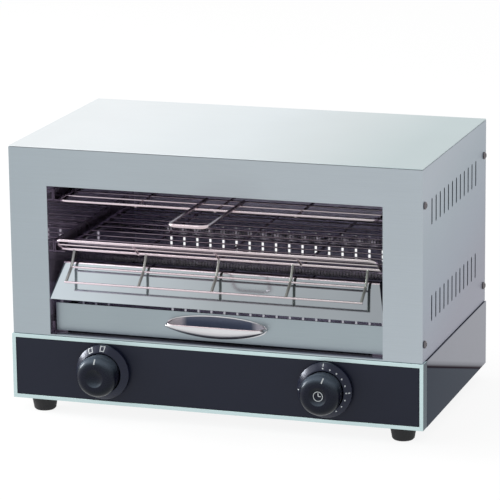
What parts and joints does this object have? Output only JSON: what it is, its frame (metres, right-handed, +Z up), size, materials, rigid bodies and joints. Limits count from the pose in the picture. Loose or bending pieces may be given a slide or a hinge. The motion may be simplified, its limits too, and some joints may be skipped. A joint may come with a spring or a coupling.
{
  "type": "single-deck salamander toaster",
  "caption": "Countertop steel toaster with an open front, sliding wire racks above and below the food, quartz tubes, a crumb drawer and two rotary controls.",
  "frame": {"origin": "on the plane that the feet stand on, below the middle of the bounding box", "axes": "+X to the right seen from the front, +Y towards the back, +Z up"},
  "size_m": [0.445, 0.3442, 0.285],
  "materials": {
    "brushed_steel": "brushed stainless steel sheet",
    "bare_steel": "plain satin steel sheet",
    "mirror_steel": "polished stainless steel",
    "chrome_wire": "bright chrome plating",
    "aluminium": "satin anodised",
    "black_panel": "semi-gloss black",
    "black_plastic": "satin moulded plastic",
    "rubber": "matt black",
    "quartz_glass": "clear fused quartz",
    "ceramic": "unglazed steatite",
    "resistance_wire": "oxidised resistance alloy",
    "brass": "turned brass"
  },
  "bodies": {
    "housing": {"base_pan": "brushed_steel", "panel_bezel": "aluminium", "control_panel": "black_panel", "cavity_floor": "bare_steel", "foot_front_left": "rubber", "foot_front_right": "rubber", "foot_rear_left": "rubber", "foot_rear_right": "rubber", "front_fascia": "brushed_steel", "back_panel": "brushed_steel", "top_cover": "brushed_steel", "right_side_cover": "brushed_steel", "left_side_cover": "brushed_steel", "right_screw_front_low": "bare_steel", "left_screw_front_low": "bare_steel", "right_screw_front_high": "bare_steel", "left_screw_front_high": "bare_steel", "right_screw_rear_low": "bare_steel", "left_screw_rear_low": "bare_steel", "right_screw_rear_high": "bare_steel", "left_screw_rear_high": "bare_steel", "right_liner": "bare_steel", "left_liner": "bare_steel", "upper_reflector": "bare_steel", "deflector_plate": "mirror_steel", "right_lower_rack_rail": "bare_steel", "left_lower_rack_rail": "bare_steel", "right_upper_rack_rail": "bare_steel", "left_upper_rack_rail": "bare_steel", "right_drawer_runner": "bare_steel", "left_drawer_runner": "bare_steel", "quartz_tube_lower_front": "quartz_glass", "quartz_tube_lower_rear": "quartz_glass", "quartz_tube_upper_front": "quartz_glass", "quartz_tube_upper_rear": "quartz_glass", "heating_coil_lower_front": "resistance_wire", "heating_coil_lower_rear": "resistance_wire", "heating_coil_upper_front": "resistance_wire", "heating_coil_upper_rear": "resistance_wire", "right_tube_holder_lower": "ceramic", "left_tube_holder_lower": "ceramic", "right_tube_holder_upper": "ceramic", "left_tube_holder_upper": "ceramic", "selector_switch": "black_plastic", "timer": "black_plastic", "selector_scale_ring": "black_plastic", "timer_scale_ring": "black_plastic", "terminal_block": "ceramic", "cable_gland": "black_plastic"},
    "lower_rack": {"lower_rack": "chrome_wire"},
    "upper_rack": {"upper_rack": "chrome_wire"},
    "crumb_drawer": {"drawer_tray": "mirror_steel", "drawer_face": "brushed_steel", "drawer_pull": "chrome_wire"},
    "selector": {"selector_knob": "black_plastic", "selector_shaft": "brass"},
    "timer_dial": {"timer_knob": "black_plastic", "timer_shaft": "brass"}
  },
  "joints": [
    {"name": "lower_rack_slide", "type": "slide", "parent": "housing", "child": "lower_rack", "axis": [0, -1, 0], "range_m": [0, 0.18]},
    {"name": "upper_rack_slide", "type": "slide", "parent": "housing", "child": "upper_rack", "axis": [0, -1, 0], "range_m": [0, 0.18]},
    {"name": "crumb_drawer_slide", "type": "slide", "parent": "housing", "child": "crumb_drawer", "axis": [0, -1, 0], "range_m": [0, 0.2]},
    {"name": "selector_turn", "type": "hinge", "parent": "housing", "child": "selector", "pos_m": [-0.1197, -0.098, 0.0522], "axis": [0, 1, 0], "range_deg": [0, 270]},
    {"name": "timer_turn", "type": "hinge", "parent": "housing", "child": "timer_dial", "pos_m": [0.1197, -0.098, 0.0522], "axis": [0, 1, 0], "range_deg": [0, 300]}
  ]
}
